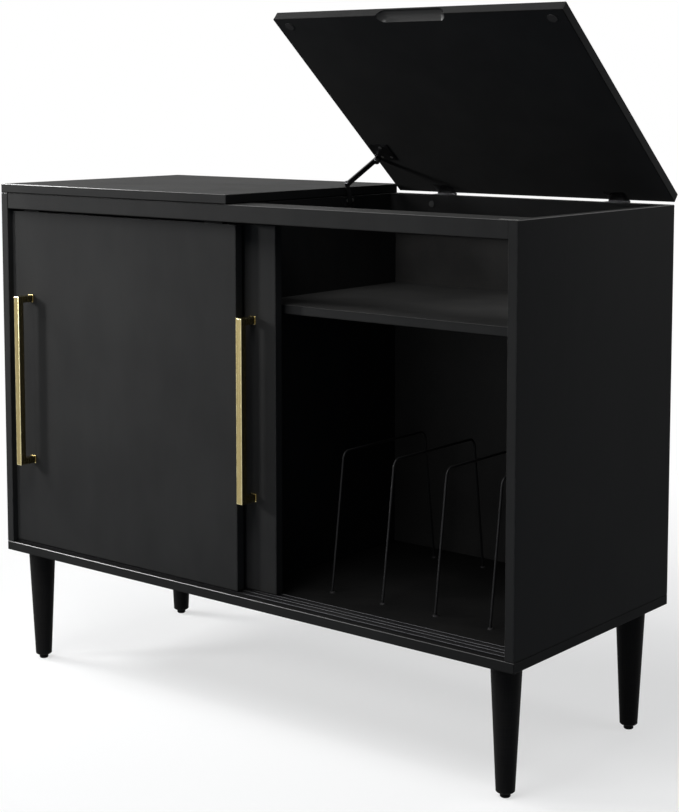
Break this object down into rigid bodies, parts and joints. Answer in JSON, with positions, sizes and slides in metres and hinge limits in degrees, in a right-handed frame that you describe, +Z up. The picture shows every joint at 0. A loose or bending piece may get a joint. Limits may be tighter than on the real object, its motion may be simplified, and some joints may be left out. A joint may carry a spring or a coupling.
{
  "type": "record player stand",
  "caption": "Low black record player stand on tapered legs, with sliding doors, wire record dividers and a hinged lid on a folding stay over the turntable bay.",
  "frame": {"origin": "on the floor, in the middle of the footprint at rest, from the front handle to the open lid's rear corner", "axes": "+X along the width to the right end, +Y from the doors to the back, +Z up"},
  "size_m": [1.1, 0.4852, 1.1613],
  "materials": {
    "black_board": "satin black laminate",
    "back_board": "black painted fibreboard",
    "grey_plastic": "matt",
    "black_wire": "satin powder coat",
    "black_leg": "satin black lacquer",
    "black_plastic": "matt",
    "rubber": "matt",
    "zinc_steel": "zinc plated",
    "dark_steel": "satin black",
    "brushed_brass": "brushed",
    "beech": "bare"
  },
  "bodies": {
    "cabinet": {"left_side_panel": "black_board", "right_side_panel": "black_board", "bottom_panel": "black_board", "fixed_top": "black_board", "front_rail": "black_board", "back_rail": "black_board", "centre_divider": "black_board", "turntable_shelf": "black_board", "left_shelf": "black_board", "left_back_panel": "back_board", "right_back_panel": "back_board", "bottom_track": "grey_plastic", "top_track": "grey_plastic", "rail_screw_caps": "black_plastic", "record_divider_1": "black_wire", "record_divider_2": "black_wire", "record_divider_3": "black_wire", "record_divider_4": "black_wire", "front_left_leg": "black_leg", "front_left_glide": "black_plastic", "front_right_leg": "black_leg", "front_right_glide": "black_plastic", "rear_left_leg": "black_leg", "rear_left_glide": "black_plastic", "rear_right_leg": "black_leg", "rear_right_glide": "black_plastic", "divider_grommets": "rubber", "shelf_pins": "zinc_steel", "leg_bolts": "zinc_steel", "leg_inserts": "zinc_steel", "shelf_cams": "zinc_steel", "shelf_cam_bolts": "zinc_steel", "corner_brace": "zinc_steel", "corner_brace_screws": "zinc_steel", "stay_housing_screws": "zinc_steel", "left_hinge_frame_leaf": "dark_steel", "right_hinge_frame_leaf": "dark_steel", "hinge_pins": "dark_steel", "hinge_frame_screws": "dark_steel", "stay_housing": "dark_steel", "carcase_dowels": "beech"},
    "lid": {"lid_panel": "black_board", "lid_bumpers": "rubber", "left_hinge_lid_leaf": "dark_steel", "right_hinge_lid_leaf": "dark_steel", "hinge_lid_screws": "dark_steel", "stay_lid_bracket": "dark_steel", "stay_lid_pin": "zinc_steel", "stay_bracket_screws": "zinc_steel"},
    "front_door": {"front_door_panel": "black_board", "front_door_handle": "brushed_brass", "front_door_guides": "black_plastic", "front_handle_screws": "zinc_steel"},
    "rear_door": {"rear_door_panel": "black_board", "rear_door_handle": "brushed_brass", "rear_door_guides": "black_plastic", "rear_handle_screws": "zinc_steel"},
    "stay_crank_body": {"stay_crank": "dark_steel"},
    "stay_arm_body": {"stay_arm": "dark_steel"}
  },
  "joints": [
    {"name": "lid_hinge", "type": "hinge", "parent": "cabinet", "child": "lid", "pos_m": [0.276, 0.23527, 0.85635], "axis": [1, 0, 0], "range_deg": [0, 40.4]},
    {"name": "front_door_slide", "type": "slide", "parent": "cabinet", "child": "front_door", "axis": [1, 0, 0], "range_m": [0, 0.008]},
    {"name": "rear_door_slide", "type": "slide", "parent": "cabinet", "child": "rear_door", "axis": [1, 0, 0], "range_m": [0, 0.463]},
    {"name": "stay_crank_pivot", "type": "hinge", "parent": "cabinet", "child": "stay_crank_body", "pos_m": [0.0039, 0.09077, 0.84085], "axis": [1, 0, 0], "range_deg": [0, 74.3]},
    {"name": "stay_arm_pivot", "type": "hinge", "parent": "lid", "child": "stay_arm_body", "pos_m": [0.0073, 0.15408, 0.91494], "axis": [1, 0, 0], "range_deg": [-61.2, 0]}
  ],
  "couplings": [
    {"joint": "stay_crank_pivot", "follows": "lid_hinge", "ratio": 1.8364},
    {"joint": "stay_arm_pivot", "follows": "lid_hinge", "ratio": -1.5112}
  ]
}
